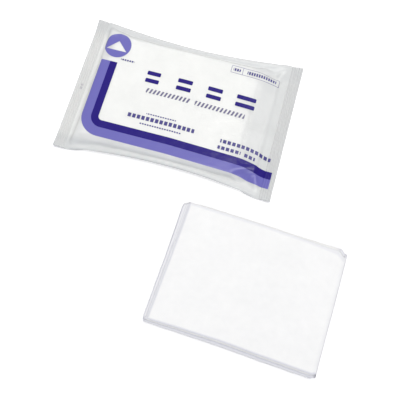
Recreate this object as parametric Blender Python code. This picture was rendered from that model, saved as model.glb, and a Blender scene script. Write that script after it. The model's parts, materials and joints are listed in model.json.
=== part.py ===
"""A triangular bandage used as an arm sling, as a set of two pieces that lie side by side.

The first piece is a flow-wrapped packet: a tube of clear film, closed by a fin seal along its back and a
crimped seal at each end, with one folded bandage inside. The second piece is an identical bandage out of
its packet, folded like a book: its upper leaf opens about the fold spine along its right edge.

Metres, +Z up, z = 0 is the table. +X runs along the packet's long side, and the origin lies under the
centre of the set. Each cloth is a triangle, half of a square, folded into panels. Its solids are stacks
of panels, with the leaves' ends stepped as the layers of a folded cloth are.
"""

import math

import bmesh
import bpy
import numpy as np
from mathutils import Vector

# Cloth, cut and folded
BANDAGE_SIDE = 1.050  # each short side of the triangle
COLUMNS = 6  # panels along the cloth's folded length
ROWS = 8  # panels along its folded width
LAYER_THICKNESS = 0.00031  # one layer of cotton, with the air above it
STACKS = 4  # solids in one folded bandage, two to each leaf
LEAF_STEP = 0.0040  # how far the upper leaf's free end stops short of the lower leaf's
INNER_STEP = 0.0015  # how far the inner panels reach past the outer ones at the free end
NEAR_STEP = 0.0030  # how far the upper leaf's near edge stops short of the lower leaf's
CORNER_CUT = 0.0045  # the blunt corners of a folded stack
EDGE_ROUND = 0.0005  # rounding of a stack's folded edges
SPINE_BULGE = 0.0032  # how far the fold spine stands out past the panels

# Film of the packet
FILM = 0.0003  # wall of a film solid
END_SEAL = 0.0125  # length of each crimped end seal along the packet
SEAL_THICKNESS = 0.0007  # a crimped seal's two film walls together
SEAL_RIBS = 5  # crimped ribs on each end seal
RIB_HEIGHT = 0.0006
FIN_WIDTH = 0.0120  # the fin seal, folded flat against the back
FIN_THICKNESS = 0.0006
FIN_RAMP = 0.0030  # over which the back film comes down beside the fin
SLACK_LEFT = 0.0085  # empty film between the packed bandage and the left seal
SLACK_RIGHT = 0.0325  # empty film between the packed bandage and the right seal
SLACK_SIDE = 0.0108  # empty film beyond each long side of the packed bandage
SEAL_FLARE = 0.0055  # how far a seal's end stands out past the packet's waist, on each side
SIDE_CREASE_HEIGHT = 0.0040  # height of the creases along the packet's long sides
SEAL_HEIGHT = 0.0016  # height of the end seals' mid-plane
PUFF = 0.0020  # how far trapped air lifts the front film over the packed bandage

# Arrangement
LOOSE_TURN = math.radians(-2.8)
LOOSE_SHIFT = 0.1206  # along X, from the packet's centre to the loose bandage's
LOOSE_CLEAR = 0.0217  # along Y, between the packet and the loose bandage
GAP = 0.0003  # between solids that touch on the real thing

# What follows from them
PANEL_LONG = BANDAGE_SIDE / COLUMNS
PANEL_SHORT = BANDAGE_SIDE / ROWS
LAYERS = COLUMNS * ROWS // 2
STACK_PITCH = LAYERS * LAYER_THICKNESS / STACKS
CLOTH_LONG = PANEL_LONG + SPINE_BULGE
CLOTH_THICKNESS = STACKS * STACK_PITCH - GAP
SPINE_X = CLOTH_LONG / 2 - SPINE_BULGE  # the fold's axis, from the cloth's centre
SPINE_Z = CLOTH_THICKNESS / 2
PACKED_Z = FIN_THICKNESS + FILM + 2 * GAP  # the packed bandage's underside
FRONT_CLEAR = PACKED_Z + CLOTH_THICKNESS + GAP  # the front film's inner face over the cloth
PACKET_LONG = CLOTH_LONG + SLACK_LEFT + SLACK_RIGHT + 2 * END_SEAL
WAIST = PANEL_SHORT + 2 * SLACK_SIDE
PACKET_WIDE = WAIST + 2 * SEAL_FLARE
PACKED_X = (SLACK_LEFT - SLACK_RIGHT) / 2
FILM_END = PACKET_LONG / 2 - END_SEAL - GAP


def smooth(t):
    """From 0 to 1, level at both ends."""
    t = min(max(t, 0.0), 1.0)
    return t * t * (3 - 2 * t)


def material(name, colour, roughness, alpha=1.0):
    made = bpy.data.materials.new(name)
    made.use_nodes = True
    shader = made.node_tree.nodes["Principled BSDF"]
    shader.inputs["Base Color"].default_value = (*colour, 1.0)
    shader.inputs["Roughness"].default_value = roughness
    shader.inputs["Metallic"].default_value = 0.0
    shader.inputs["Alpha"].default_value = alpha
    return made


def empty(name, parts, parent=None, location=(0, 0, 0), turn=0.0):
    made = bpy.data.objects.new(name, None)
    made.location = location
    made.rotation_euler = (0, 0, turn)
    made.parent = parent
    parts.objects.link(made)
    return made


def sheet_solid(name, parts, parent, surface, xs, steps, low, high, across):
    """A thin solid between two height functions. It has a line of points at each x, and across places each step."""
    mesh = bpy.data.meshes.new(name)
    bm = bmesh.new()
    layers = []
    for height in (low, high):
        rows = []
        for x in xs:
            rows.append([bm.verts.new((x, y, height(x, y))) for y in (across(x, step) for step in steps)])
        layers.append(rows)
    below, above = layers
    for i in range(len(xs) - 1):
        for j in range(len(steps) - 1):
            bm.faces.new((above[i][j], above[i + 1][j], above[i + 1][j + 1], above[i][j + 1]))
            bm.faces.new((below[i][j], below[i][j + 1], below[i + 1][j + 1], below[i + 1][j]))
    for i in range(len(xs) - 1):
        bm.faces.new((below[i][0], below[i + 1][0], above[i + 1][0], above[i][0]))
        bm.faces.new((below[i + 1][-1], below[i][-1], above[i][-1], above[i + 1][-1]))
    for j in range(len(steps) - 1):
        bm.faces.new((below[0][j + 1], below[0][j], above[0][j], above[0][j + 1]))
        bm.faces.new((below[-1][j], below[-1][j + 1], above[-1][j + 1], above[-1][j]))
    bmesh.ops.recalc_face_normals(bm, faces=bm.faces)
    bm.to_mesh(mesh)
    bm.free()
    mesh.materials.append(surface)
    mesh.shade_smooth()
    mesh.set_sharp_from_angle(angle=math.radians(40))
    made = bpy.data.objects.new(name, mesh)
    made.parent = parent
    parts.objects.link(made)
    return made


def panel_stack(name, parts, parent, surface, x_range, y_range, z_range):
    """A stack of folded panels: a slab with blunt corners and slightly rounded folds."""
    mesh = bpy.data.meshes.new(name)
    bm = bmesh.new()
    bmesh.ops.create_cube(bm, size=1.0)
    low = Vector((x_range[0], y_range[0], z_range[0]))
    high = Vector((x_range[1], y_range[1], z_range[1]))
    for vert in bm.verts:
        vert.co = [low[k] + (vert.co[k] + 0.5) * (high[k] - low[k]) for k in range(3)]
    upright = [e for e in bm.edges if abs(e.verts[0].co.z - e.verts[1].co.z) > LAYER_THICKNESS]
    bmesh.ops.bevel(bm, geom=upright, offset=CORNER_CUT, segments=1, affect="EDGES")
    level = [e for e in bm.edges if abs(e.verts[0].co.z - e.verts[1].co.z) < LAYER_THICKNESS]
    bmesh.ops.bevel(bm, geom=level, offset=EDGE_ROUND, segments=2, affect="EDGES")
    bm.to_mesh(mesh)
    bm.free()
    mesh.materials.append(surface)
    made = bpy.data.objects.new(name, mesh)
    made.parent = parent
    parts.objects.link(made)
    return made


def spine(name, parts, parent, surface, y_range, location):
    """The fold spine: the half-round back of the folded cloth, joining the two leaves."""
    rise = CLOTH_THICKNESS / 2
    steps = 8
    outline = [(GAP + (SPINE_BULGE - GAP) * math.cos(a), rise * math.sin(a))
               for a in np.linspace(-math.pi / 2, math.pi / 2, steps + 1)]
    curve = bpy.data.curves.new(name, "CURVE")
    curve.dimensions = "2D"
    curve.fill_mode = "BOTH"
    curve.extrude = (y_range[1] - y_range[0]) / 2
    path = curve.splines.new("POLY")
    path.points.add(len(outline) - 1)
    for point, (x, z) in zip(path.points, outline):
        point.co = (x, z, 0, 1)
    path.use_cyclic_u = True
    bar = bpy.data.objects.new(name + "_outline", curve)
    parts.objects.link(bar)
    mesh = bpy.data.meshes.new_from_object(bar.evaluated_get(bpy.context.evaluated_depsgraph_get()))
    bpy.data.objects.remove(bar)
    bm = bmesh.new()
    bm.from_mesh(mesh)
    bmesh.ops.remove_doubles(bm, verts=bm.verts, dist=1e-6)
    bmesh.ops.recalc_face_normals(bm, faces=bm.faces)
    bm.to_mesh(mesh)
    bm.free()
    mesh.materials.clear()
    mesh.materials.append(surface)
    mesh.shade_smooth()
    mesh.set_sharp_from_angle(angle=math.radians(40))
    made = bpy.data.objects.new(name, mesh)
    made.rotation_euler = (math.pi / 2, 0, 0)
    made.location = location + Vector((0, (y_range[0] + y_range[1]) / 2, 0))
    made.parent = parent
    parts.objects.link(made)
    return made


def folded_bandage(prefix, parts, lower, upper, hinge, surface):
    """A folded cloth under the empty lower, whose upper leaf hangs on the empty upper at the point hinge."""
    near = -PANEL_SHORT / 2
    far = PANEL_SHORT / 2
    free_end = SPINE_X - PANEL_LONG
    for k in range(STACKS):
        is_upper = k >= STACKS // 2
        is_inner = k in (STACKS // 2 - 1, STACKS // 2)
        name = f"{prefix}_{'upper' if is_upper else 'lower'}_leaf_{'inner' if is_inner else 'outer'}_panels"
        start = free_end + (LEAF_STEP if is_upper else 0) + (0 if is_inner else INNER_STEP)
        edge = near + (NEAR_STEP if is_upper else 0)
        bottom = k * STACK_PITCH
        origin = hinge if is_upper else Vector((0, 0, 0))
        panel_stack(name, parts, upper if is_upper else lower, surface,
                    (start - origin.x, SPINE_X - origin.x),
                    (edge - origin.y, far - origin.y),
                    (bottom - origin.z, bottom + STACK_PITCH - GAP - origin.z))
    spine(f"{prefix}_fold_spine", parts, lower, surface, (near + CORNER_CUT, far - CORNER_CUT),
          Vector((SPINE_X, 0, SPINE_Z)))


def half_width(x):
    """The packet's half width: its waist, flaring out to the seals."""
    reach = PACKET_LONG / 2 - END_SEAL
    return WAIST / 2 + SEAL_FLARE * smooth((abs(x) - reach * 0.45) / (reach * 0.55)) ** 1.4


def across_film(x, step):
    """Steps from -1 to 1 lie over the packed bandage, and from there to -2 and 2 over the slack beside it."""
    over_cloth = min(abs(step), 1) * PANEL_SHORT / 2
    beside = max(abs(step) - 1, 0) * (half_width(x) - PANEL_SHORT / 2)
    return math.copysign(over_cloth + beside, step)


def cover(x, y):
    """1 over the packed bandage, falling to 0 at the seals and at the side creases."""
    cloth_left = PACKED_X - CLOTH_LONG / 2
    cloth_right = PACKED_X + CLOTH_LONG / 2
    past_x = max((cloth_left - x) / (cloth_left + FILM_END), (x - cloth_right) / (FILM_END - cloth_right), 0)
    past_y = max(abs(y) - PANEL_SHORT / 2, 0) / (half_width(x) - PANEL_SHORT / 2)
    return (1 - smooth(past_x)) * (1 - smooth(past_y))


def edge_height(x):
    """Height of the line where front and back film meet, along the sides and down to the seals."""
    rest = smooth((FILM_END - abs(x)) / SLACK_LEFT)
    return SEAL_HEIGHT + (SIDE_CREASE_HEIGHT - SEAL_HEIGHT) * rest


def front_inner(x, y):
    crown = math.cos(math.pi * x / (2 * FILM_END)) * math.cos(math.pi * y / (2 * half_width(x)))
    over = FRONT_CLEAR + PUFF * crown
    edge = edge_height(x) + GAP / 2
    return edge + (over - edge) * cover(x, y)


def front_outer(x, y):
    return front_inner(x, y) + FILM


def back_outer(x, y):
    """The packet's underside: flat on the table, and lifted over the fin seal."""
    over_fin = (FIN_THICKNESS + GAP) * smooth((FIN_WIDTH / 2 + GAP + FIN_RAMP - abs(y)) / FIN_RAMP)
    edge = edge_height(x) - GAP / 2 - FILM
    flat = min(1.0, 2 * cover(x, y))
    return max(edge * (1 - flat), over_fin)


def back_inner(x, y):
    return back_outer(x, y) + FILM


def packet_film(parts, parent, clear, crimped):
    cloth_ends = [PACKED_X - CLOTH_LONG / 2, PACKED_X + CLOTH_LONG / 2]
    slack = np.linspace(0, 1, 5)
    xs = np.unique(np.round(np.concatenate([
        -FILM_END + slack * (cloth_ends[0] + FILM_END),
        np.linspace(cloth_ends[0], cloth_ends[1], 13),
        cloth_ends[1] + slack * (FILM_END - cloth_ends[1])]), 6))
    fin = (FIN_WIDTH / 2 + GAP) / (PANEL_SHORT / 2)
    ramp = (FIN_WIDTH / 2 + GAP + FIN_RAMP) / (PANEL_SHORT / 2)
    half = np.concatenate([[fin], np.linspace(ramp, 1, 4), np.linspace(1, 2, 5)[1:]])
    steps = np.concatenate([-half[::-1], half])
    sheet_solid("packet_front_film", parts, parent, clear, xs, steps, front_inner, front_outer, across_film)
    sheet_solid("packet_back_film", parts, parent, clear, xs, steps, back_outer, back_inner, across_film)
    end_seals(parts, parent, crimped)
    sheet_solid("packet_fin_seal", parts, parent, crimped, [-FILM_END, FILM_END], [-1, 1],
                lambda x, y: 0.0, lambda x, y: FIN_THICKNESS, lambda x, step: step * FIN_WIDTH / 2)


def end_seals(parts, parent, crimped):
    """Two film walls crimped together, in ribs that run across the packet."""
    pitch = END_SEAL / SEAL_RIBS
    lines = [k * pitch / 2 for k in range(2 * SEAL_RIBS + 1)]
    for name, sign in (("packet_left_end_seal", -1), ("packet_right_end_seal", 1)):
        inner = sign * (PACKET_LONG / 2 - END_SEAL)
        xs = sorted(inner + sign * d for d in lines)

        def rib(x, inner=inner):
            phase = abs(x - inner) / pitch
            return RIB_HEIGHT * (0.5 - abs(phase - math.floor(phase) - 0.5))

        def low(x, y):
            return SEAL_HEIGHT - SEAL_THICKNESS / 2 + rib(x)

        def high(x, y):
            return SEAL_HEIGHT + SEAL_THICKNESS / 2 + rib(x)

        sheet_solid(name, parts, parent, crimped, xs, [-1, 1], low, high,
                    lambda x, step: step * PACKET_WIDE / 2)


def centre_over_origin(parts, roots):
    """Moves the roots so that the middle of the set's bounding box lies over the origin."""
    bpy.context.view_layer.update()
    corners = [obj.matrix_world @ vert.co for obj in parts.objects if obj.type == "MESH"
               for vert in obj.data.vertices]
    middle = Vector([(min(c[k] for c in corners) + max(c[k] for c in corners)) / 2 for k in (0, 1)] + [0])
    for root in roots:
        root.location -= middle


def main():
    for obj in list(bpy.data.objects):
        bpy.data.objects.remove(obj)
    parts = bpy.data.collections.new("triangular_bandage_set")
    bpy.context.scene.collection.children.link(parts)
    cotton = material("cotton", (0.93, 0.925, 0.90), 0.9)
    clear = material("clear_film", (0.80, 0.82, 0.82), 0.15, 0.35)
    crimped = material("crimped_film", (0.84, 0.86, 0.87), 0.3, 0.6)

    packet = empty("packet_root", parts)
    packet_film(parts, packet, clear, crimped)
    packed = empty("packed_bandage_root", parts, packet, (PACKED_X, 0, PACKED_Z))
    folded_bandage("packed", parts, packed, packed, Vector((0, 0, 0)), cotton)

    turned_half_width = (CLOTH_LONG / 2) * abs(math.sin(LOOSE_TURN)) + (PANEL_SHORT / 2) * math.cos(LOOSE_TURN)
    loose_y = -(PACKET_WIDE / 2 + LOOSE_CLEAR + turned_half_width)
    loose = empty("loose_bandage_root", parts, None, (LOOSE_SHIFT, loose_y, 0), LOOSE_TURN)
    hinge = Vector((SPINE_X, 0, SPINE_Z))
    leaf = empty("upper_leaf_hinge", parts, loose, hinge)
    folded_bandage("loose", parts, loose, leaf, hinge, cotton)

    centre_over_origin(parts, (packet, loose))


main()
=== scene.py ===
"""The looks of the triangular bandage set: a clear printed packet with a folded bandage inside it, and the
same bandage out of its packet, folded flat. Both cloths are whole triangles of cotton, folded along their
creases. Lengths are in metres."""
import json
import math

import bmesh
import bpy
import numpy as np
from mathutils import Matrix, Vector


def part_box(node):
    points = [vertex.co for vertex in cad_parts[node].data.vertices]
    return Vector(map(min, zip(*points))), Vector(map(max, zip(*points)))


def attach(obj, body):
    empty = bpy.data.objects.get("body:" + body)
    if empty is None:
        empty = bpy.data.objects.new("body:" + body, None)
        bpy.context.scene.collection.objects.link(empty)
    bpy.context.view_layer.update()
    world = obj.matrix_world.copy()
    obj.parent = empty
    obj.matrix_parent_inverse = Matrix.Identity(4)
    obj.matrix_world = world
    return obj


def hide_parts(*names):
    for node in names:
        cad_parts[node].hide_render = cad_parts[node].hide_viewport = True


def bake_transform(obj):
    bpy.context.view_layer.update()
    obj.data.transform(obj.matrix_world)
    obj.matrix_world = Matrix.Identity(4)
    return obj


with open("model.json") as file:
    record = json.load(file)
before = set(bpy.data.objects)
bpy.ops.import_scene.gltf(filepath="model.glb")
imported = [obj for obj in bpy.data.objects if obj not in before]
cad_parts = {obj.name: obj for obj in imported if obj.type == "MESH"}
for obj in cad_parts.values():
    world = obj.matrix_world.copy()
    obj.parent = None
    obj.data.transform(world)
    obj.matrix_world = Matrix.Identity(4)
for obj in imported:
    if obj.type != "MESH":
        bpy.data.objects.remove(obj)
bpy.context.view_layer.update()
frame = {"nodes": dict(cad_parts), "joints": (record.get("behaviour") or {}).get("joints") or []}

# The cloth, cut and folded
SIDE = 1.050  # each short side of the triangle
COLUMNS = 6  # panels along it once it is folded one way
ROWS = 8  # and the other way
PANEL_LONG = SIDE / COLUMNS
PANEL_SHORT = SIDE / ROWS
LAYERS = COLUMNS * ROWS
LEAF_AIR = 0.0005  # left for the air between the two leaves
BULGE = 0.85  # how far a fold stands out, as a share of half its height
NEAR_LAG = 0.0050  # how far the top layer stops short of the bottom one at the near edge
FREE_LAG = 0.0042  # and at the free end
NEAR_LAG_PACKED = 0.0075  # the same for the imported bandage, which its film has pushed together
FREE_LAG_PACKED = 0.005
CORNER_CUT = 0.0055  # how much handling blunts a corner
CORNER_REACH = 0.035  # how far into the cloth a blunted corner is felt
THREAD = 0.00045  # from one thread to the next

# The packet's film
FLAT_WIDE = 0.1640  # the tube of film laid flat
LENGTH_SLACK = 0.0045  # how much longer the film is than the packet it makes
SEAL_RIBS = 5
RIB_STEPS = 4  # lines of the grid to each rib
RIB_HEIGHT = 0.00042
SEAL_WAVE = (0.0009, 0.030)  # how far a seal waves along its length, and the wave's length over two pi
SEAL_CURL = 0.0016  # how far a seal's corners curl up
BODY_LINES = 93  # lines of the grid along the film between the seals
CROSS_LINES = 67  # and across one wall of it
AIR_SHORT = 0.0095  # how far the air trapped beside the cloth stops from the right-hand seal
AIR_IN = 0.010  # and how far it lies inside the cloth's long sides
AIR_OVERLAP = 0.020  # how far it reaches over the cloth's end
AIR_DROP = 0.0006  # how far its top lies below the cloth's
CORE_LOW = 0.0008  # the underside of the body that stands for the cloth while the film settles
TABLE_CLEAR = 0.0003  # the film's lowest place above the table, before it settles and once it is crimped
WALL_CLEAR = 0.00025  # between the film's walls, and over the fin seal and the table
FIN_RAMP = 0.0015  # how far beside the fin seal the back film stays up
WEB_SKEW = 0.032  # how far askew the printed web runs to the right of its middle, as a slope
WEB_SAG = 0.0036  # and how far it sags where it enters the right-hand seal
WEB_SAG_FROM = 0.078
WEB_SAG_OVER = 0.030
WORK_SCALE = 10.0  # the film is draped ten times life size, where the solver's margins are small beside it
DRAPE_FRAMES = 46


# ---------------------------------------------------------------- the frame's places

def union_box(names):
    """The lowest and highest corners of several nodes together."""
    boxes = [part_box(name) for name in names]
    low = Vector([min(b[0][k] for b in boxes) for k in range(3)])
    high = Vector([max(b[1][k] for b in boxes) for k in range(3)])
    return low, high


SETS = {}
for prefix in ("packed", "loose"):
    SETS[prefix] = [name for name in frame["nodes"] if name.startswith(prefix + "_")]
PACKET_NODES = ["packet_front_film", "packet_back_film", "packet_left_end_seal", "packet_right_end_seal"]
packet_low, packet_high = union_box(PACKET_NODES + ["packet_fin_seal"])
PACKET_CENTRE = (packet_low + packet_high) / 2
PACKET_LONG = packet_high.x - packet_low.x
seal_low, seal_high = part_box("packet_left_end_seal")
SEAL_LONG = seal_high[0] - seal_low[0]
SEAL_Z = (seal_low[2] + seal_high[2]) / 2
fin_low, fin_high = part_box("packet_fin_seal")
FIN_WIDE = fin_high[1] - fin_low[1]
FIN_TOP = fin_high[2]
packed_low, packed_high = union_box(SETS["packed"])
HINGE = [joint for joint in frame["joints"] if joint["name"] == "upper_leaf_unfold"][0]
HINGE_AT = Vector(HINGE["pos_m"])
LOOSE_TURN = math.atan2(-HINGE["axis"][0], HINGE["axis"][1])
CLOTH_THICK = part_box("loose_upper_leaf_outer_panels")[1][2]
LAYER = (CLOTH_THICK - LEAF_AIR) / (LAYERS - 2)


def smooth(t):
    """From 0 to 1, level at both ends."""
    t = np.clip(t, 0.0, 1.0)
    return t * t * (3 - 2 * t)


def rise(value, start, length):
    """0 up to the start, and 1 once the length is past."""
    return smooth((value - start) / length)


def link(name, data):
    """A new object in the scene."""
    made = bpy.data.objects.new(name, data)
    bpy.context.scene.collection.objects.link(made)
    return made


# ---------------------------------------------------------------- materials

def new_material(name):
    made = bpy.data.materials.new(name)
    made.use_nodes = True
    return made, made.node_tree, made.node_tree.nodes["Principled BSDF"]


class Maths:
    """Short names for a material's sums."""

    def __init__(self, tree):
        self.tree = tree

    def do(self, operation, *values, clamp=False):
        node = self.tree.nodes.new("ShaderNodeMath")
        node.operation = operation
        node.use_clamp = clamp
        for socket, value in zip(node.inputs, values):
            if isinstance(value, (int, float)):
                socket.default_value = value
            else:
                self.tree.links.new(value, socket)
        return node.outputs[0]

    def step(self, value, edge, soft):
        """1 below the edge and 0 above it."""
        return self.do("DIVIDE", self.do("SUBTRACT", edge + soft / 2, value), soft, clamp=True)

    def mix(self, factor, a, b):
        node = self.tree.nodes.new("ShaderNodeMix")
        node.data_type = "RGBA"
        for socket, value in ((node.inputs[0], factor), (node.inputs[6], a), (node.inputs[7], b)):
            if isinstance(value, (int, float)):
                socket.default_value = value
            elif isinstance(value, tuple):
                socket.default_value = (*value, 1.0)
            else:
                self.tree.links.new(value, socket)
        return node.outputs[2]

    def noise(self, vector, scale, detail=3.0, rough=0.5):
        node = self.tree.nodes.new("ShaderNodeTexNoise")
        node.inputs["Scale"].default_value = scale
        node.inputs["Detail"].default_value = detail
        node.inputs["Roughness"].default_value = rough
        self.tree.links.new(vector, node.inputs["Vector"])
        return node.outputs["Fac"]

    def coordinates(self, layer):
        node = self.tree.nodes.new("ShaderNodeUVMap")
        node.uv_map = layer
        split = self.tree.nodes.new("ShaderNodeSeparateXYZ")
        self.tree.links.new(node.outputs["UV"], split.inputs[0])
        return node.outputs["UV"], split.outputs["X"], split.outputs["Y"]

    def bump(self, height, distance, strength, shader, before=None):
        node = self.tree.nodes.new("ShaderNodeBump")
        node.inputs["Distance"].default_value = distance
        node.inputs["Strength"].default_value = strength
        self.tree.links.new(height, node.inputs["Height"])
        if before is not None:
            self.tree.links.new(before, node.inputs["Normal"])
        if shader is not None:
            self.tree.links.new(node.outputs["Normal"], shader.inputs["Normal"])
        return node.outputs["Normal"]


# Painted shade along the creases, which are the stack's edges, where the layers fall into shade: the way
# across, the panel, whether it is the odd creases, half width, softness, strength
PAINTED_CREASE_SHADES = [
    ("v", PANEL_SHORT, False, 0.0014, 0.0018, 0.75),
    ("v", PANEL_SHORT, True, 0.0019, 0.0020, 0.32),
    ("u", PANEL_LONG, False, 0.0014, 0.0018, 0.60),
    ("u", PANEL_LONG, True, 0.0068, 0.0040, 0.60),
    ("u", PANEL_LONG, True, 0.0086, 0.0074, 0.45),
]
COTTON_LOW = (0.835, 0.835, 0.825)
COTTON_HIGH = (0.990, 0.986, 0.966)
# the colour of the painted shade at the creases
COTTON_PAINTED_SHADE = (0.64, 0.645, 0.71)


def painted_crease_shade(m, u, v):
    """How much painted shade the cloth gets at its creases, from 0 to 1."""
    deepest = None
    for along, panel, odd, half, soft, strength in PAINTED_CREASE_SHADES:
        place = u if along == "u" else v
        away = m.do("PINGPONG", m.do("ADD", place, panel) if odd else place, panel)
        shade = m.do("MULTIPLY", m.step(away, half, soft), strength)
        deepest = shade if deepest is None else m.do("MAXIMUM", deepest, shade)
    return deepest


def cotton_material():
    """Bleached plain weave: threads over and under, slubs, soft lint and faint press marks, with painted shade
    along the creases.
    """
    made, tree, shader = new_material("bleached_cotton")
    m = Maths(tree)
    uv, u, v = m.coordinates("cloth")
    warp = m.do("SINE", m.do("MULTIPLY", u, 2 * math.pi / THREAD))
    weft = m.do("SINE", m.do("MULTIPLY", v, 2 * math.pi / THREAD))
    over = m.do("MULTIPLY", m.do("ADD", m.do("MULTIPLY", warp, weft), 1.0), 0.5)
    slub = m.noise(uv, 900.0, 2.0)
    lint = m.noise(uv, 140.0, 5.0, 0.6)
    mottle = m.noise(uv, 26.0, 4.0, 0.55)
    tone = m.do("ADD", m.do("MULTIPLY", m.do("SUBTRACT", mottle, 0.5), 0.55),
                m.do("MULTIPLY", m.do("SUBTRACT", lint, 0.5), 0.45))
    weave = m.do("ADD", m.do("MULTIPLY", over, 0.10), m.do("ADD", 0.46, tone), clamp=True)
    colour = m.mix(weave, COTTON_LOW, COTTON_HIGH)
    # painted shade: the creases, which are the stack's edges, are greyed where they fall into shade
    colour = m.mix(painted_crease_shade(m, u, v), colour, COTTON_PAINTED_SHADE)
    tree.links.new(colour, shader.inputs["Base Color"])
    rough = m.do("ADD", 0.80, m.do("MULTIPLY", lint, 0.18), clamp=True)
    tree.links.new(rough, shader.inputs["Roughness"])
    shader.inputs["Sheen Weight"].default_value = 0.25
    shader.inputs["Sheen Roughness"].default_value = 0.55
    shader.inputs["Specular IOR Level"].default_value = 0.2
    press = m.bump(m.noise(uv, 30.0, 4.0), 0.0022, 0.45, None)
    threads = m.do("ADD", m.do("MULTIPLY", over, 0.7), m.do("MULTIPLY", slub, 0.6))
    m.bump(threads, 0.00016, 0.55, shader, press)
    return made


# The packet's print, in metres from the packet's centre on the flat film
PRINT = {
    "inner_x": -0.0825, "inner_y": -0.0415, "inner_round": 0.0050,
    "dark": 0.0083, "light": 0.0108, "top": 0.0305, "right": 0.1170,
    "badge": (-0.0885, 0.0515, 0.0153),
}
SHARP = 0.0003  # the softness of the print's edges
INK_DARK = (0.020, 0.010, 0.190)
INK_LIGHT = (0.165, 0.155, 0.470)
INK_GREY = (0.17, 0.16, 0.26)
FILM_LOW = (0.71, 0.72, 0.705)
FILM_HIGH = (0.815, 0.82, 0.80)
# the painted shade of the film, where it is empty or doubled at its side creases
PAINTED_FILM_SHADE = (0.58, 0.595, 0.60)
# Plain bars where the packet has its lines: centre x, centre y, half width, half height
TITLE_X = (-0.0380, -0.0015, 0.0335, 0.0695)
TITLE_WIDE = (0.0078, 0.0085, 0.0085, 0.0110)
TITLE_ROWS = (0.0276, 0.0184)
TITLE_BARS = [(x, y, wide, 0.0025) for x, wide in zip(TITLE_X, TITLE_WIDE) for y in TITLE_ROWS]
SUBTITLE_BARS = [(-0.0155, 0.0062, 0.0255, 0.0028), (0.0440, 0.0060, 0.0285, 0.0028)]
SMALL_BARS = [(-0.0145, -0.0268, 0.0385, 0.0024), (0.0830, -0.0285, 0.0290, 0.0021),
              (0.0660, -0.0362, 0.0130, 0.0020), (0.0890, -0.0365, 0.0065, 0.0020)]
TINY_BARS = [(-0.0155, -0.0209, 0.0170, 0.0007), (-0.0130, -0.0337, 0.0240, 0.0008),
             (-0.0720, 0.0358, 0.0080, 0.0010)]
NUMBER_BOX = (0.0720, 0.0585, 0.0280, 0.0043)
LINE = 0.00022  # half the width of the box's outline and of the line that divides it
NUMBER_DIVIDE = (0.0573, NUMBER_BOX[1], LINE, NUMBER_BOX[3])
NUMBER_BARS = [(NUMBER_BOX[0] + 0.0075, NUMBER_BOX[1], 0.0170, 0.0019),
               (NUMBER_BOX[0] - 0.0215, NUMBER_BOX[1], 0.0042, 0.0017)]
STAMP_BARS = [(-0.1150, -0.0030, 0.0015, 0.0012), (-0.1150, -0.0070, 0.0015, 0.0016)]
SIDE_CREASE = 0.0650  # past this the film is doubled towards its side creases, and looks denser, and it is painted greyer there as shade
SIDE_CREASE_SOFT = 0.0080
CREASE_DENSER = 0.16  # what is added there to the film's alpha
PAINTED_SHADE_SHARE = 0.5  # how far the film's colour goes towards its painted shade where it is empty or doubled
CLOTH_END = packed_high.x - PACKET_CENTRE.x + 0.004  # past this the film is empty, and is painted greyer as shade
CLOTH_END_SOFT = 0.006
BADGE_BASE = 0.40  # how far the triangle's base lies below the badge's middle, as a share of its radius
BADGE_SIDE = 0.26  # how far its slanted sides lie from the middle


def rounded_bar(m, u, v, bar, corner):
    """Distance to a bar with round corners, below 0 inside it."""
    across = m.do("SUBTRACT", m.do("ABSOLUTE", m.do("SUBTRACT", u, bar[0])), bar[2] - corner)
    up = m.do("SUBTRACT", m.do("ABSOLUTE", m.do("SUBTRACT", v, bar[1])), bar[3] - corner)
    out_u = m.do("MAXIMUM", across, 0.0)
    out_v = m.do("MAXIMUM", up, 0.0)
    outside = m.do("SQRT", m.do("ADD", m.do("MULTIPLY", out_u, out_u), m.do("MULTIPLY", out_v, out_v)))
    inside = m.do("MINIMUM", m.do("MAXIMUM", across, up), 0.0)
    return m.do("SUBTRACT", m.do("ADD", outside, inside), corner)


def bars(m, u, v, places, corner=0.0006):
    """How much ink the bars lay down, 0 or 1."""
    nearest = None
    for place in places:
        found = rounded_bar(m, u, v, place, min(corner, place[3] * 0.9))
        nearest = found if nearest is None else m.do("MINIMUM", nearest, found)
    return m.step(nearest, 0.0, 0.00025)


def dashes(m, u, v, pitch, share, slant):
    """Slanted gaps that break a bar into short dashes."""
    along = m.do("SUBTRACT", u, m.do("MULTIPLY", v, slant))
    place = m.do("FRACT", m.do("ADD", m.do("DIVIDE", along, pitch), 50.0))
    return m.step(place, share, 0.08)


def badge(m, u, v):
    """A round badge with a plain white triangle cut out of it, the shape of the cloth."""
    x, y, radius = PRINT["badge"]
    du = m.do("SUBTRACT", u, x)
    dv = m.do("SUBTRACT", v, y)
    away = m.do("SQRT", m.do("ADD", m.do("MULTIPLY", du, du), m.do("MULTIPLY", dv, dv)))
    disc = m.step(away, radius, SHARP)
    below = m.do("SUBTRACT", -radius * BADGE_BASE, dv)
    diagonal = math.sqrt(0.5)
    slant = m.do("ADD", m.do("MULTIPLY", m.do("ABSOLUTE", du), diagonal), m.do("MULTIPLY", dv, diagonal))
    side = m.do("SUBTRACT", slant, radius * BADGE_SIDE)
    triangle = m.step(m.do("MAXIMUM", below, side), 0.0, SHARP)
    return m.do("MULTIPLY", disc, m.do("SUBTRACT", 1.0, triangle))


def stripe_distance(m, u, v):
    """Distance outwards from the stripe's inner edge, which turns a rounded corner at the lower left."""
    a = m.do("SUBTRACT", PRINT["inner_x"] + PRINT["inner_round"], u)
    b = m.do("SUBTRACT", PRINT["inner_y"] + PRINT["inner_round"], v)
    out_a = m.do("MAXIMUM", a, 0.0)
    out_b = m.do("MAXIMUM", b, 0.0)
    outside = m.do("SQRT", m.do("ADD", m.do("MULTIPLY", out_a, out_a), m.do("MULTIPLY", out_b, out_b)))
    inside = m.do("MINIMUM", m.do("MAXIMUM", a, b), 0.0)
    return m.do("SUBTRACT", m.do("ADD", outside, inside), PRINT["inner_round"])


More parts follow.
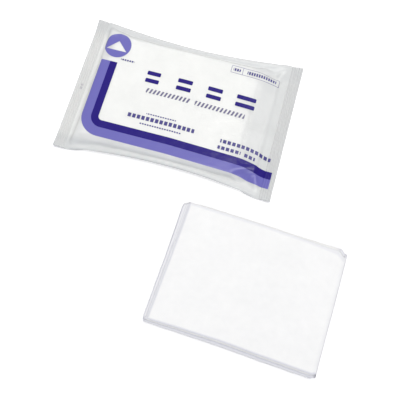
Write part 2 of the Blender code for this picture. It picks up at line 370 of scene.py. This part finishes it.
def print_on_film(m, u, v, colour, alpha):
    """Lays the stripe, the badge and the bars over the film's colour, and makes it denser there."""
    reach = stripe_distance(m, u, v)
    within = m.do("MULTIPLY", m.step(v, PRINT["top"], SHARP), m.step(u, PRINT["right"], SHARP))
    begun = m.do("SUBTRACT", 1.0, m.step(reach, 0.0, SHARP))
    dark = m.do("MULTIPLY", m.do("MULTIPLY", begun, m.step(reach, PRINT["dark"], SHARP)), within)
    broad = m.do("MULTIPLY", m.step(reach, PRINT["dark"] + PRINT["light"], SHARP), begun)
    light = m.do("MAXIMUM", m.do("MULTIPLY", broad, within), badge(m, u, v))
    words = m.do("MAXIMUM", bars(m, u, v, TITLE_BARS, 0.0012), dark)
    grey = m.do("MULTIPLY", bars(m, u, v, SUBTITLE_BARS), dashes(m, u, v, 0.0043, 0.50, 0.35))
    small = m.do("MULTIPLY", bars(m, u, v, SMALL_BARS), dashes(m, u, v, 0.0052, 0.72, 0.0))
    tiny = m.do("MULTIPLY", bars(m, u, v, TINY_BARS + NUMBER_BARS), dashes(m, u, v, 0.0028, 0.70, 0.0))
    small = m.do("MAXIMUM", m.do("MAXIMUM", small, tiny), bars(m, u, v, [NUMBER_DIVIDE]))
    outline = m.do("ABSOLUTE", rounded_bar(m, u, v, NUMBER_BOX, 0.0008))
    small = m.do("MAXIMUM", small, m.step(outline, LINE, 0.0002))
    colour = m.mix(light, colour, INK_LIGHT)
    colour = m.mix(m.do("MAXIMUM", words, m.do("MULTIPLY", small, 0.92)), colour, INK_DARK)
    colour = m.mix(grey, colour, INK_GREY)
    ink = m.do("MAXIMUM", m.do("MAXIMUM", light, words), m.do("MAXIMUM", grey, small))
    stamp = m.do("MULTIPLY", bars(m, u, v, STAMP_BARS), 0.35)
    return m.mix(stamp, colour, INK_GREY), m.do("MAXIMUM", alpha, m.do("MULTIPLY", ink, 0.99))


def film_material(name, printed, haze, passing, crimped=False):
    """Milky film, with painted shade where it is empty or doubled, and the print where it has one. passing is
    the share of its haze that stops light on its way through, as most of the light a milky film scatters still
    goes on inwards."""
    made, tree, shader = new_material(name)
    m = Maths(tree)
    uv, u, v = m.coordinates("film")
    clouds = m.noise(uv, 30.0, 3.0)
    alpha = m.do("ADD", haze, m.do("MULTIPLY", m.do("SUBTRACT", clouds, 0.5), 0.10), clamp=True)
    crease = m.do("SUBTRACT", 1.0, m.step(m.do("ABSOLUTE", v), SIDE_CREASE, SIDE_CREASE_SOFT))
    alpha = m.do("ADD", alpha, m.do("MULTIPLY", crease, CREASE_DENSER), clamp=True)
    path = tree.nodes.new("ShaderNodeLightPath")
    stopped = m.do("SUBTRACT", 1.0, m.do("MULTIPLY", path.outputs["Is Shadow Ray"], 1.0 - passing))
    alpha = m.do("MULTIPLY", alpha, stopped)
    colour = m.mix(clouds, FILM_LOW, FILM_HIGH)
    # painted shade: the film is greyed past the cloth's end and where it doubles at its side creases
    past_cloth = m.do("SUBTRACT", 1.0, m.step(u, CLOTH_END, CLOTH_END_SOFT))
    empty = m.do("MAXIMUM", crease, m.do("MULTIPLY", past_cloth, 0.7))
    colour = m.mix(m.do("MULTIPLY", empty, PAINTED_SHADE_SHARE), colour, PAINTED_FILM_SHADE)
    if printed:
        colour, alpha = print_on_film(m, u, v, colour, alpha)
    tree.links.new(colour, shader.inputs["Base Color"])
    tree.links.new(alpha, shader.inputs["Alpha"])
    gloss = m.do("ADD", 0.26 if crimped else 0.20, m.do("MULTIPLY", clouds, 0.10))
    tree.links.new(gloss, shader.inputs["Roughness"])
    shader.inputs["IOR"].default_value = 1.49
    shader.inputs["Specular IOR Level"].default_value = 0.30
    crinkle = m.bump(m.noise(uv, 60.0, 4.0, 0.55), 0.0016, 0.36, None)
    m.bump(m.noise(uv, 420.0, 2.0), 0.00010, 0.25, shader, crinkle)
    return made


# ---------------------------------------------------------------- the cloth

LINE_CROWDING = 1.6  # how strongly the grid's lines crowd towards a crease
LINE_GAP = 0.00012  # the least distance between two of them


def crease_lines(count, panel, arcs, plain):
    """Where the flat cloth's grid lines lie: evenly over the panels, and close together by each crease."""
    lines = set()
    for k in range(count * plain + 1):
        lines.add(round(k * panel / plain, 7))
    for crease, reach, fine in arcs:
        for side in (-1, 1):
            for t in np.linspace(0, 1, fine + 1):
                lines.add(round(crease * panel + side * reach * t ** LINE_CROWDING, 7))
    total = count * panel
    kept = [0.0]
    for line in sorted(lines):
        if 0 < line < total and line - kept[-1] > LINE_GAP:
            kept.append(line)
    kept.append(total)
    return np.array(kept)


def fold(points, axis, line, way, reach, height, lag_in, lag_out):
    """Folds over all that lies past a line. height is the axis of the turn. reach is the length that turns
    over, and its end stops short by lag_in on the innermost layer and by lag_out on the outermost."""
    out = points.copy()
    past = (points[:, axis] - line) * way
    radius = np.maximum(height - points[:, 2], 1e-5)
    arc = math.pi * radius * math.sqrt((1 + BULGE * BULGE) / 2)
    turning = (past > 0) & (past < arc)
    angle = math.pi * past / arc
    out[:, axis] = np.where(turning, line + way * radius * BULGE * np.sin(angle), out[:, axis])
    out[:, 2] = np.where(turning, height - radius * np.cos(angle), out[:, 2])
    over = past >= arc
    lag = lag_in + (lag_out - lag_in) * (radius / height)
    along = (past - arc) * (reach - lag) / (reach - arc)
    out[:, axis] = np.where(over, line - way * along, out[:, axis])
    out[:, 2] = np.where(over, height + radius, out[:, 2])
    return out


# The folds in order: axis, crease line, the side that turns over, its length, the height of the turn, and
# how far its innermost and outermost layers stop short
FOLDS = [
    (0, 4 * PANEL_LONG, 1, 2 * PANEL_LONG, LAYER / 2, 0.0006, 0.0012),
    (0, 2 * PANEL_LONG, -1, 2 * PANEL_LONG, LAYER, 0.0006, 0.0014),
    (1, 4 * PANEL_SHORT, 1, 4 * PANEL_SHORT, 2.5 * LAYER, 0.0008, 0.0020),
    (1, 2 * PANEL_SHORT, 1, 2 * PANEL_SHORT, 5.5 * LAYER, 0.0002, 0.0024),
    (1, PANEL_SHORT, 1, PANEL_SHORT, 11.5 * LAYER, -0.0004, 0.0022),
    (0, 3 * PANEL_LONG, 1, PANEL_LONG, CLOTH_THICK / 2, -0.0008, 0.0010),
]


def folded(points):
    """The flat triangle's points on the folded stack. Its free end, near edge and underside are at 0, and
    its spine is at one panel's length."""
    for axis, line, way, reach, height, lag_in, lag_out in FOLDS:
        points = fold(points, axis, line, way, reach, height, lag_in, lag_out)
    points[:, 0] -= 2 * PANEL_LONG
    return points


def waver(t, seed):
    """A smooth uneven line, between about -1 and 1."""
    rng = np.random.default_rng(seed)
    total = np.zeros_like(t)
    for k in range(5):
        share = rng.uniform(0.4, 1.0) / (k + 1)
        total += share * np.sin(t * (k + 1.3) * rng.uniform(0.8, 1.2) + rng.uniform(0, 6.28))
    return total / 1.6


# What handling does to a neat fold
NEAR_WAVER = (0.00045, 0.0003)  # how unevenly the near edge lies, from layer to layer and along it
FREE_WAVER = (0.0005, 0.00035)  # and the free end
EDGE_WAVE = 0.05  # about the length of one wave along an edge, over two pi
END_OUTLINE = (0.0004, 0.024)  # how far the outline of the whole stack wavers at its ends, and its wave
SIDE_OUTLINE = (0.0005, 0.028)  # and at its long edges
LEAF_SHORT = (0.0017, 0.0014)  # how far the upper leaf stops short at the far edge, and more by the spine
TOP_SKEW = 0.0022  # how far askew the topmost layers lie by the spine
PLUMP = 0.05  # how much thicker the middle is, as a share
RIPPLE = 0.018  # how much the thickness varies over the stack, as a share
SPINE_PRESS = (0.40, 0.0085)  # how much thinner the spine is, as a share, and how far in that is felt
# How far in from each open edge it is thinner
EDGE_REACH = {"free": 0.0040, "far": 0.0040, "near": 0.0045}
# Each corner's x and y, and its share of the cut
CORNER_SHARES = [(0, 0, 0.30), (0, PANEL_SHORT, 1.0), (PANEL_LONG, PANEL_SHORT, 0.9), (PANEL_LONG, 0, 0.25)]


def step_edges(x, y, z, seed, near_lag, free_lag):
    """Layers that stop short of one another, unevenly, at the near edge and the free end."""
    a, b = PANEL_LONG, PANEL_SHORT
    level = z / CLOTH_THICK
    flat_y = y
    uneven = NEAR_WAVER[0] * waver(z / LAYER * 0.9, seed)
    uneven = uneven + NEAR_WAVER[1] * waver(x / EDGE_WAVE, seed + 1)
    middle = 0.62 + 0.38 * np.sin(math.pi * np.clip(x / a, 0, 1)) + 0.10 * waver(x / 0.06, seed + 2)
    lag_y = near_lag * rise(level, 0.15, 0.85) * middle + uneven
    y = b - (b - y) * (1 - lag_y / b)
    uneven = FREE_WAVER[0] * waver(z / LAYER * 0.7, seed + 3)
    uneven = uneven + FREE_WAVER[1] * waver(flat_y / EDGE_WAVE, seed + 4)
    lag_x = free_lag * rise(level, 0.35, 0.65) * (0.75 + 0.7 * flat_y / b) + uneven
    x = a - (a - x) * (1 - lag_x / a)
    short = LEAF_SHORT[0] + LEAF_SHORT[1] * rise(x / a, 0.6, 0.4)
    y = y - short * rise(level, 0.50, 0.06) * smooth(y / b)
    y = y + SIDE_OUTLINE[0] * waver(x / SIDE_OUTLINE[1], seed + 7) * smooth(np.abs(2 * y / b - 1))
    x = x + END_OUTLINE[0] * waver(flat_y / END_OUTLINE[1], seed + 8) * smooth(np.abs(2 * x / a - 1))
    y = y - TOP_SKEW * rise(x / a, 0.80, 0.20) * rise(level, 0.93, 0.07) * smooth(y / b)
    return x, y


def blunt_corners(x, y, level, seed):
    """Draws the stack's corners in along y, by a share of the cut that differs from corner to corner."""
    for corner_x, corner_y, share in CORNER_SHARES:
        inward = x if corner_x == 0 else PANEL_LONG - x
        from_side = np.where(x < 0, 0, np.maximum(inward, 0))
        cut = CORNER_CUT * share * (1 + 0.2 * np.sin(level * 5 + seed))
        depth = np.maximum(cut - from_side, 0)
        near = smooth(1 - np.abs(y - corner_y) / CORNER_REACH)
        y = y + depth * near * (1 if corner_y == 0 else -1)
    return y


def settle(p, seed, near_lag, free_lag, squeeze, pinch):
    """Steps at the open edges, soft corners, a plump middle, thin edges and a pressed spine. squeeze is the
    whole stack's height as a share, and pinch is how much thinner its open edges are."""
    a, b = PANEL_LONG, PANEL_SHORT
    z = p[:, 2]
    x, y = step_edges(p[:, 0], p[:, 1], z, seed, near_lag, free_lag)
    y = blunt_corners(x, y, z / CLOTH_THICK, seed)
    edge_spine = np.exp(-np.maximum(a - x, 0) / SPINE_PRESS[1])
    edges = np.exp(-np.maximum(x, 0) / EDGE_REACH["free"])
    edges = edges + np.exp(-np.maximum(b - y, 0) / EDGE_REACH["far"])
    edges = edges + np.exp(-np.maximum(y, 0) / EDGE_REACH["near"])
    plump = PLUMP * np.sin(math.pi * np.clip(x / a, 0, 1)) * np.sin(math.pi * np.clip(y / b, 0, 1))
    ripple = RIPPLE * waver(x / 0.045 + 1.7 * waver(y / 0.07, seed + 5), seed + 6)
    thin = 1 + plump + ripple - SPINE_PRESS[0] * edge_spine - pinch * edges
    middle = CLOTH_THICK / 2
    return np.stack([x, y, middle + (z - middle) * thin * squeeze], 1)


# How far to each side of a crease the grid's lines lie close together: more where it wraps more layers
SPINE_ARC = 0.0125
OUTER_ARC = 0.0062
MIDDLE_ARC = 0.0030
INNER_ARC = 0.0014
SLANT_ARC = 0.0012


def flat_cloth(name, plain, fine):
    """The flat triangle as a grid: so many plain squares to each panel, and fine lines close by each crease.
    Its UV map keeps where each point lies on the flat cloth."""
    arcs_long = [(k, SPINE_ARC, fine) for k in (1, 3, 5)] + [(k, SLANT_ARC, 4) for k in (2, 4)]
    arcs_short = [(k, OUTER_ARC, fine * 2 // 3) for k in (1, 3, 5, 7)]
    arcs_short += [(k, MIDDLE_ARC, fine // 2) for k in (2, 6)] + [(4, INNER_ARC, 4)]
    us = crease_lines(COLUMNS, PANEL_LONG, arcs_long, plain)
    vs = crease_lines(ROWS, PANEL_SHORT, arcs_short, plain)
    bm = bmesh.new()
    grid = [[bm.verts.new((u, v, 0)) for v in vs] for u in us]
    for i in range(len(us) - 1):
        for j in range(len(vs) - 1):
            if us[i] + vs[j] < SIDE:
                bm.faces.new((grid[i][j], grid[i + 1][j], grid[i + 1][j + 1], grid[i][j + 1]))
    bmesh.ops.delete(bm, geom=[vert for vert in bm.verts if not vert.link_faces], context="VERTS")
    whole = bm.verts[:] + bm.edges[:] + bm.faces[:]
    bmesh.ops.bisect_plane(bm, geom=whole, dist=1e-7, plane_co=(SIDE, 0, 0), plane_no=(1, 1, 0),
                           clear_outer=True)
    layer = bm.loops.layers.uv.new("cloth")
    for face in bm.faces:
        face.smooth = True
        for loop in face.loops:
            loop[layer].uv = loop.vert.co.xy
    mesh = bpy.data.meshes.new(name)
    bm.to_mesh(mesh)
    bm.free()
    return mesh


def folded_cloth(name, cotton, place, turn, seed, lags, grid, squeeze, pinch):
    """One triangle of cotton, folded, with its spine at place."""
    mesh = flat_cloth(name, *grid)
    flat = np.zeros(len(mesh.vertices) * 3)
    mesh.vertices.foreach_get("co", flat)
    shape = settle(folded(flat.reshape(-1, 3)), seed, *lags, squeeze, pinch)
    shape[:, 0] -= PANEL_LONG
    shape[:, 1] -= PANEL_SHORT / 2
    c, s = math.cos(turn), math.sin(turn)
    out = np.stack([place.x + c * shape[:, 0] - s * shape[:, 1],
                    place.y + s * shape[:, 0] + c * shape[:, 1],
                    place.z + shape[:, 2]], 1)
    mesh.vertices.foreach_set("co", out.ravel())
    mesh.materials.append(cotton)
    mesh.update()
    return link(name, mesh)


# ---------------------------------------------------------------- the packet

def film_grid():
    """Places of the grid's lines along and across the flat film, close together in the crimped seals."""
    half = (PACKET_LONG + LENGTH_SLACK) / 2
    inner = half - SEAL_LONG
    steps = SEAL_RIBS * RIB_STEPS
    seal = inner + np.arange(steps + 1) * (SEAL_LONG / steps)
    body = np.linspace(-inner, inner, BODY_LINES)
    along = np.concatenate([-seal[:0:-1], body, seal[1:]])
    across = np.linspace(-FLAT_WIDE / 2, FLAT_WIDE / 2, CROSS_LINES)
    return along, across, inner


def film_faces(rows, columns):
    """The tube of film as rings of points: two walls that share their side creases."""
    ring = 2 * columns - 2
    faces = []
    for i in range(rows - 1):
        for j in range(ring):
            k = (j + 1) % ring
            faces.append((i * ring + j, i * ring + k, (i + 1) * ring + k, (i + 1) * ring + j))
    return ring, faces


# The loose pillow that the film starts from
START_TOP = 0.0022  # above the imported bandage
START_BOTTOM = 0.0004
START_CLOTH_CLEAR = 0.002  # beyond the cloth's long sides
START_RISE = 0.0015  # how far the side creases rise beside the cloth
START_WAIST = 0.055  # how much narrower the film is at its waist, as a share
START_GAP = 0.0002  # between the walls
SEAL_GAP = 0.00006  # and in the seals
FLAT_GAP = 0.0003  # and in the flat tube that gives the film its size


def film_start(along, across, inner):
    """The film's points before it settles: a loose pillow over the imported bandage."""
    columns = len(across)
    ring_v = np.concatenate([across, across[-2:0:-1]])
    front = np.concatenate([np.ones(columns), np.zeros(columns - 2)])
    u = np.repeat(along, len(ring_v))
    v = np.tile(ring_v, len(along))
    upper = np.tile(front, len(along)) > 0.5
    edge = np.abs(np.abs(v) - FLAT_WIDE / 2) < 1e-6
    body_half = PACKET_LONG / 2 - SEAL_LONG
    x = np.where(np.abs(u) > inner, np.sign(u) * (body_half + np.abs(u) - inner), u * body_half / inner)
    low_x = packed_low.x - PACKET_CENTRE.x
    high_x = packed_high.x - PACKET_CENTRE.x
    off_left = (low_x - x) / (low_x + body_half)
    off_right = (x - high_x) / (body_half - high_x)
    body = 1 - smooth(np.maximum(off_left, off_right))
    half_cloth = PANEL_SHORT / 2 + START_CLOTH_CLEAR
    side = (np.abs(v) - half_cloth) / (FLAT_WIDE / 2 - half_cloth)
    narrow = 1 - START_WAIST * smooth(1.25 * (1 - np.abs(x) / body_half))
    y = v * np.where(np.abs(u) > inner, 1.0, narrow)
    top = packed_high.z + START_TOP
    middle = SEAL_Z + START_RISE * body
    lift = body * (1 - smooth(side))
    z = np.where(upper, middle + (top - middle) * lift + START_GAP,
                 middle + (START_BOTTOM - middle) * lift - START_GAP)
    z = np.where(edge, middle, z)
    in_seal = np.abs(u) >= inner - 1e-6
    z = np.where(in_seal, SEAL_Z + np.where(upper & ~edge, SEAL_GAP, -SEAL_GAP), z)
    z = np.maximum(z, TABLE_CLEAR)
    return u, v, upper, in_seal, np.stack([x, y, z], 1)


def block(name, low, high, rounding):
    """A plain body for the film to rest on while it settles."""
    mesh = bpy.data.meshes.new(name)
    bm = bmesh.new()
    bmesh.ops.create_cube(bm, size=1.0)
    for vert in bm.verts:
        vert.co = [low[k] + (vert.co[k] + 0.5) * (high[k] - low[k]) for k in range(3)]
    if rounding:
        bmesh.ops.bevel(bm, geom=bm.edges[:], offset=rounding, segments=3, affect="EDGES", profile=0.5)
    bm.to_mesh(mesh)
    bm.free()
    made = link(name, mesh)
    made.modifiers.new("Collision", "COLLISION")
    made.collision.thickness_outer = 0.002
    made.collision.cloth_friction = 4.0
    return made


def resting_bodies():
    """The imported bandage, the air trapped beside it, and the table, all at the working scale."""
    scale, centre = WORK_SCALE, PACKET_CENTRE
    low = Vector((packed_low.x - centre.x, packed_low.y - centre.y, CORE_LOW)) * scale
    high = Vector((packed_high.x - centre.x, packed_high.y - centre.y, packed_high.z)) * scale
    air_low = Vector((high.x - AIR_OVERLAP * scale, low.y + AIR_IN * scale, low.z))
    air_end = PACKET_LONG / 2 * scale - SEAL_LONG * scale - AIR_SHORT * scale
    air_high = Vector((air_end, high.y - AIR_IN * scale, high.z - AIR_DROP * scale))
    return [block("film_core", low, high, 0.036), block("trapped_air", air_low, air_high, 0.030),
            block("film_table", Vector((-2, -2, -0.2)), Vector((2, 2, 0.0)), 0)]


def drape(start, faces, flat, pinned):
    """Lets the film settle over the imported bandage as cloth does, from its flat size, with air inside it."""
    mesh = bpy.data.meshes.new("film_sim")
    mesh.from_pydata([tuple(p) for p in start * WORK_SCALE], [], faces)
    made = link("film_sim", mesh)
    made.shape_key_add(name="Basis")
    rest = made.shape_key_add(name="flat")
    rest.data.foreach_set("co", (flat * WORK_SCALE).ravel())
    rest.value = 0.0
    group = made.vertex_groups.new(name="seals")
    group.add([int(i) for i in np.nonzero(pinned)[0]], 1.0, "REPLACE")
    bodies = resting_bodies()
    cloth = made.modifiers.new("Cloth", "CLOTH")
    film = cloth.settings
    film.rest_shape_key = rest
    film.vertex_group_mass = "seals"
    film.quality = 6
    film.mass = 0.25
    film.tension_stiffness = film.compression_stiffness = 60
    film.shear_stiffness = 30
    film.bending_stiffness = 6
    film.tension_damping = film.compression_damping = film.shear_damping = 12
    film.bending_damping = 2
    film.air_damping = 2
    film.use_pressure = True
    film.uniform_pressure_force = 1.1
    film.effector_weights.gravity = 0.35
    cloth.collision_settings.distance_min = 0.002
    cloth.collision_settings.collision_quality = 3
    cloth.collision_settings.use_self_collision = False
    cloth.point_cache.frame_start = 1
    cloth.point_cache.frame_end = DRAPE_FRAMES
    scene = bpy.context.scene
    for number in range(1, DRAPE_FRAMES + 1):
        scene.frame_set(number)
    solved = made.evaluated_get(bpy.context.evaluated_depsgraph_get())
    out = np.zeros(len(mesh.vertices) * 3)
    solved.data.vertices.foreach_get("co", out)
    scene.frame_set(1)
    for body in [made, *bodies]:
        bpy.data.objects.remove(body)
    return out.reshape(-1, 3) / WORK_SCALE


def keep_apart(shape, ring, count, half_ring, in_seal):
    """Keeps the film's walls off each other, the fin seal and the table."""
    grid = shape.reshape(count, ring, 3)
    body = ~in_seal.reshape(count, ring)
    for j in range(1, half_ring - 1):
        top, under = grid[:, j, 2], grid[:, ring - j, 2]
        under[:] = np.maximum(under, WALL_CLEAR)
        gap = np.where(body[:, j], WALL_CLEAR, 0.0001)
        top[:] = np.maximum(top, under + gap)
    over_fin = np.abs(grid[:, :, 1]) < FIN_WIDE / 2 + FIN_RAMP
    bottom = np.zeros((count, ring), bool)
    bottom[:, half_ring:] = True
    lift = FIN_TOP + WALL_CLEAR
    grid[:, :, 2] = np.where(over_fin & bottom & body, np.maximum(grid[:, :, 2], lift), grid[:, :, 2])
    return grid.reshape(-1, 3)


def crimp(shape, u, v, inner, in_seal):
    """Ribs across the end seals, a slight wave along them, and ends that curl up."""
    past = np.clip(np.abs(u) - inner, 0, SEAL_LONG) / SEAL_LONG
    rib = np.cos(past * SEAL_RIBS * 2 * math.pi) * -RIB_HEIGHT
    wave = SEAL_WAVE[0] * waver(v / SEAL_WAVE[1], 11) * smooth(past * 1.3)
    curl = SEAL_CURL * rise(np.abs(v) / (FLAT_WIDE / 2), 0.80, 0.20) * smooth(past)
    z = shape[:, 2] + np.where(in_seal, rib + wave + curl, 0.0)
    shape[:, 2] = np.maximum(z, TABLE_CLEAR)
    return shape


def print_drift(x):
    """The printed web runs a little askew to the right, and sags where it enters the right-hand seal."""
    return WEB_SKEW * np.maximum(x, 0) + WEB_SAG * rise(x, WEB_SAG_FROM, WEB_SAG_OVER)


def film_piece(name, node, own, shape, printed, coating):
    """One piece of the settled film, with its own points and the print's place on them."""
    used = sorted({i for face in own for i in face})
    index = {old: new for new, old in enumerate(used)}
    mesh = bpy.data.meshes.new(name)
    mesh.from_pydata([tuple(shape[i]) for i in used], [], [tuple(index[i] for i in face) for face in own])
    layer = mesh.uv_layers.new(name="film")
    corners = [i for face in own for i in face]
    layer.data.foreach_set("uv", printed[corners].astype(np.float32).ravel())
    mesh.shade_smooth()
    mesh.materials.append(coating)
    mesh.update()
    made = link(name, mesh)
    fine = made.modifiers.new("Subdivision", "SUBSURF")
    fine.levels = fine.render_levels = 1
    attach(made, "packet")
    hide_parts(node)


def packet():
    along, across, inner = film_grid()
    rows, half_ring = len(along), len(across)
    ring, faces = film_faces(rows, half_ring)
    u, v, upper, in_seal, start = film_start(along, across, inner)
    flat = np.stack([u, v, np.where(upper, FLAT_GAP, 0.0) + SEAL_Z], 1)
    shape = drape(start, faces, flat, in_seal)
    shape = keep_apart(shape, ring, rows, half_ring, in_seal)
    shape = crimp(shape, u, v, inner, in_seal)
    printed = shape[:, :2].copy()
    printed[:, 1] += print_drift(printed[:, 0])
    shape[:, 0] += PACKET_CENTRE.x
    shape[:, 1] += PACKET_CENTRE.y
    seal_steps = SEAL_RIBS * RIB_STEPS
    kinds = {"front": [], "back": [], "left": [], "right": []}
    for index, face in enumerate(faces):
        row, column = divmod(index, ring)
        if row < seal_steps:
            kinds["left"].append(face)
        elif row >= rows - 1 - seal_steps:
            kinds["right"].append(face)
        elif column < half_ring - 1:
            kinds["front"].append(face)
        else:
            kinds["back"].append(face)
    # name, node, which faces, and the film's material: print, haze, passing and crimps
    for name, node, kind, coating in (
            ("packet_front_film_web", "packet_front_film", "front", ("printed_film", True, 0.72, 0.12)),
            ("packet_back_film_web", "packet_back_film", "back", ("plain_film", False, 0.66, 0.35)),
            ("packet_left_end_seal_crimp", "packet_left_end_seal", "left",
             ("left_crimped_film", True, 0.62, 0.7, True)),
            ("packet_right_end_seal_crimp", "packet_right_end_seal", "right",
             ("right_crimped_film", True, 0.62, 0.7, True))):
        film_piece(name, node, kinds[kind], shape, printed, film_material(*coating))


def fin_seal():
    """The CAD's own fin seal, with the film's look."""
    for slot in bpy.data.objects["packet_fin_seal"].material_slots:
        slot.link = "OBJECT"
        slot.material = film_material("fin_crimped_film", False, 0.55, 0.7, True)


# ---------------------------------------------------------------- stage

VIEW_TURN = math.radians(17.95)  # the camera looks past +Y towards -X by this
VIEW_UP = math.radians(74.2)  # and looks down by this
VIEW_ROLL = math.radians(-2.47)
VIEW_FAR = 0.5864  # from the camera to what it looks at
LOOK_AT = Vector((0.0501, -0.0980, 0.0))  # from the packet's centre
SENSOR = 36.0  # in millimetres, as Blender has it
LENS = SENSOR * 1.375
FLOOR = 25.0  # half the table's width
FLOOR_DROP = 0.0002
SHADOW_LIFT = 0.11  # how much paler the shadows on the table look to the camera
SKY_LIGHT = (0.25, 0.26, 0.30)  # what the sky and the table send out to the set, and what the camera sees
SKY_SEEN = (0.94, 0.945, 0.95)
TABLE_LIGHT = (0.42, 0.42, 0.44)
TABLE_SEEN = (1.0, 1.0, 1.0)


def sky():
    """A pale sky that lights the set less than it shows to the camera."""
    world = bpy.data.worlds.new("studio")
    world.use_nodes = True
    tree = world.node_tree
    path = tree.nodes.new("ShaderNodeLightPath")
    seen = Maths(tree).mix(path.outputs["Is Camera Ray"], SKY_LIGHT, SKY_SEEN)
    tree.links.new(seen, tree.nodes["Background"].inputs["Color"])
    tree.nodes["Background"].inputs["Strength"].default_value = 1.0
    bpy.context.scene.world = world


def table():
    """A white table that sends less light back to the set than it shows to the camera."""
    mesh = bpy.data.meshes.new("floor")
    corners = [(-FLOOR, -FLOOR, 0), (FLOOR, -FLOOR, 0), (FLOOR, FLOOR, 0), (-FLOOR, FLOOR, 0)]
    mesh.from_pydata(corners, [], [(0, 1, 2, 3)])
    floor = link("floor", mesh)
    floor.location.z = -FLOOR_DROP
    made, tree, shader = new_material("studio_table")
    m = Maths(tree)
    camera_ray = tree.nodes.new("ShaderNodeLightPath").outputs["Is Camera Ray"]
    tree.links.new(m.mix(camera_ray, TABLE_LIGHT, TABLE_SEEN), shader.inputs["Base Color"])
    tree.links.new(m.do("MULTIPLY", camera_ray, SHADOW_LIFT), shader.inputs["Emission Strength"])
    shader.inputs["Emission Color"].default_value = (1.0, 1.0, 1.0, 1.0)
    shader.inputs["Roughness"].default_value = 0.9
    shader.inputs["Specular IOR Level"].default_value = 0.1
    mesh.materials.append(made)


def stage():
    scene = bpy.context.scene
    scene.view_settings.view_transform = "Standard"
    scene.render.film_transparent = False
    sky()
    table()
    lamp("overhead", (0.32, 0.22, 2.40), 1.57, 30, (1.0, 0.985, 0.945))
    lamp("front_fill", (0.25, -2.0, 1.7), 0.86, 28, (0.95, 0.96, 1.0))
    window = lamp("window", (-0.15, 2.0, 1.5), 19.0, 0, (1.0, 0.985, 0.95))
    window.size = 1.1


def lamp(name, place, power, spread, colour):
    """A lamp aimed at the middle of the set: a sun of that many degrees, or a panel when it has none."""
    light = bpy.data.lights.new(name, "SUN" if spread else "AREA")
    if spread:
        light.angle = math.radians(spread)
    light.energy = power
    light.color = colour
    made = link(name, light)
    made.location = place
    made.rotation_euler = (-Vector(place)).to_track_quat("-Z", "Y").to_euler()
    return light


def camera():
    target = Vector((PACKET_CENTRE.x, PACKET_CENTRE.y, 0)) + LOOK_AT
    ahead = Vector((-math.sin(VIEW_TURN), math.cos(VIEW_TURN), 0)) * math.cos(VIEW_UP)
    ahead.z = -math.sin(VIEW_UP)
    data = bpy.data.cameras.new("camera")
    data.sensor_width = SENSOR
    data.lens = LENS
    data.clip_start = 0.01
    made = link("camera", data)
    made.location = target - ahead * VIEW_FAR
    turn = ahead.to_track_quat("-Z", "Y").to_matrix().to_4x4()
    made.rotation_euler = (turn @ Matrix.Rotation(VIEW_ROLL, 4, "Z")).to_euler()
    bpy.context.scene.camera = made


def bandages():
    cotton = cotton_material()
    spine = Vector((HINGE_AT.x, HINGE_AT.y, 0))
    loose = folded_cloth("loose_triangular_bandage", cotton, spine, LOOSE_TURN, seed=3,
                         lags=(NEAR_LAG, FREE_LAG), grid=(10, 16), squeeze=1.0, pinch=0.11)
    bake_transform(loose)
    packed_spine = Vector((packed_low.x + PANEL_LONG, (packed_low.y + packed_high.y) / 2, packed_low.z))
    packed = folded_cloth("packed_triangular_bandage", cotton, packed_spine, 0.0, seed=8,
                          lags=(NEAR_LAG_PACKED, FREE_LAG_PACKED), grid=(7, 9), squeeze=0.97, pinch=0.30)
    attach(packed, "packet")
    for prefix, piece in (("loose", loose), ("packed", packed)):
        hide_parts(*SETS[prefix])


def main():
    camera()
    stage()
    bandages()
    packet()
    fin_seal()


main()
